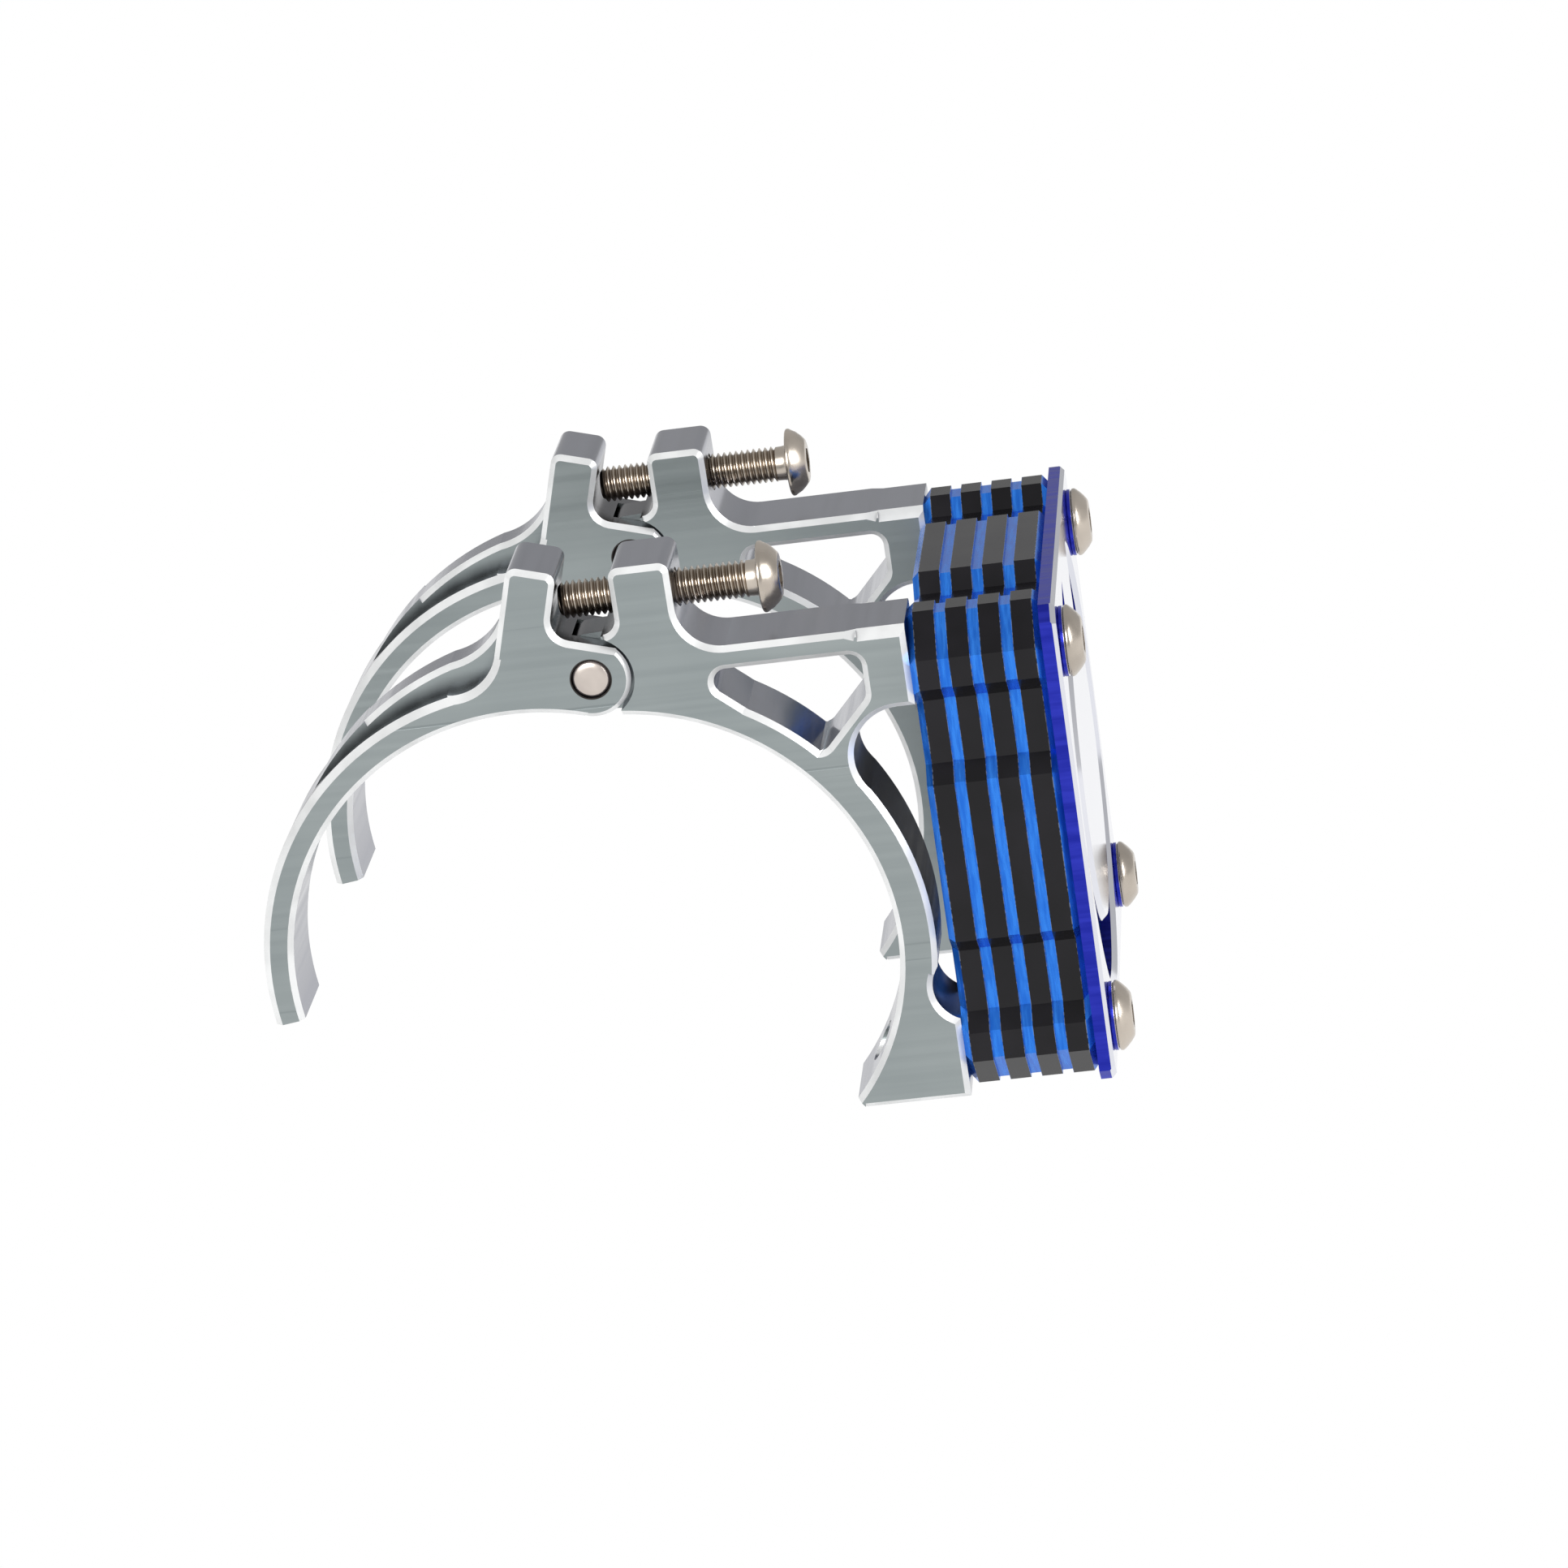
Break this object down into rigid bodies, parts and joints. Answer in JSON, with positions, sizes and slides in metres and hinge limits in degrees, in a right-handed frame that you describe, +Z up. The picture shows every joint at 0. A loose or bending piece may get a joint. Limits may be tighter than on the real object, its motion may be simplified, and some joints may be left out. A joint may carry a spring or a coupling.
{
  "type": "clip-on motor cooling fan",
  "caption": "Hinged twin ring clamps in grey metal with jack screws, carrying a black and blue finned square fan case with a blue cover plate.",
  "frame": {"origin": "on the clamp's axis, which is the motor's axis, midway between the two clamps", "axes": "+Y along the motor, +X from the jaws to the fan, +Z up to the hinges"},
  "size_m": [0.0688, 0.0404, 0.0484],
  "materials": {
    "bracket": "satin, grey anodised, bright cut edges",
    "steel": "plain",
    "case": "black and blue anodised",
    "plate": "blue anodised",
    "brass": "plain",
    "core": "laminated",
    "copper": "enamelled wire",
    "board": "green",
    "rubber": "black",
    "impeller": "black",
    "magnet": "dark"
  },
  "bodies": {
    "base": {"near_bracket": "bracket", "far_bracket": "bracket", "near_hinge_pin": "steel", "far_hinge_pin": "steel", "fan_case": "case", "cover_plate": "plate", "plate_washers": "plate", "plate_screws": "steel", "bearing_tube": "brass", "front_bearing": "steel", "rear_bearing": "steel", "stator_core": "core", "stator_coils": "copper", "circuit_board": "board", "lead_grommet": "rubber"},
    "near_jaw": {"near_arm": "bracket"},
    "far_jaw": {"far_arm": "bracket"},
    "near_screw": {"near_clamp_screw": "steel"},
    "far_screw": {"far_clamp_screw": "steel"},
    "rotor": {"impeller": "impeller", "rotor_cup": "steel", "magnet_ring": "magnet", "rotor_shaft": "steel", "shaft_clip": "steel"}
  },
  "joints": [
    {"name": "near_screw_feed", "type": "slide", "parent": "base", "child": "near_screw", "axis": [-1, 0, 0], "range_m": [-0.002, 0.00179]},
    {"name": "near_jaw_hinge", "type": "hinge", "parent": "base", "child": "near_jaw", "pos_m": [0, -0.016, 0.0242], "axis": [0, -1, 0], "range_deg": [-18.4, 16.4]},
    {"name": "far_screw_feed", "type": "slide", "parent": "base", "child": "far_screw", "axis": [-1, 0, 0], "range_m": [-0.002, 0.00179]},
    {"name": "far_jaw_hinge", "type": "hinge", "parent": "base", "child": "far_jaw", "pos_m": [0, 0.016, 0.0242], "axis": [0, -1, 0], "range_deg": [-18.4, 16.4]},
    {"name": "fan_spin", "type": "hinge", "parent": "base", "child": "rotor", "pos_m": [0.03, 0, 0.0056], "axis": [1, 0, 0], "continuous": true}
  ],
  "couplings": [
    {"joint": "near_jaw_hinge", "follows": "near_screw_feed", "rad_per_m": 158.93},
    {"joint": "far_jaw_hinge", "follows": "far_screw_feed", "rad_per_m": 158.93}
  ]
}
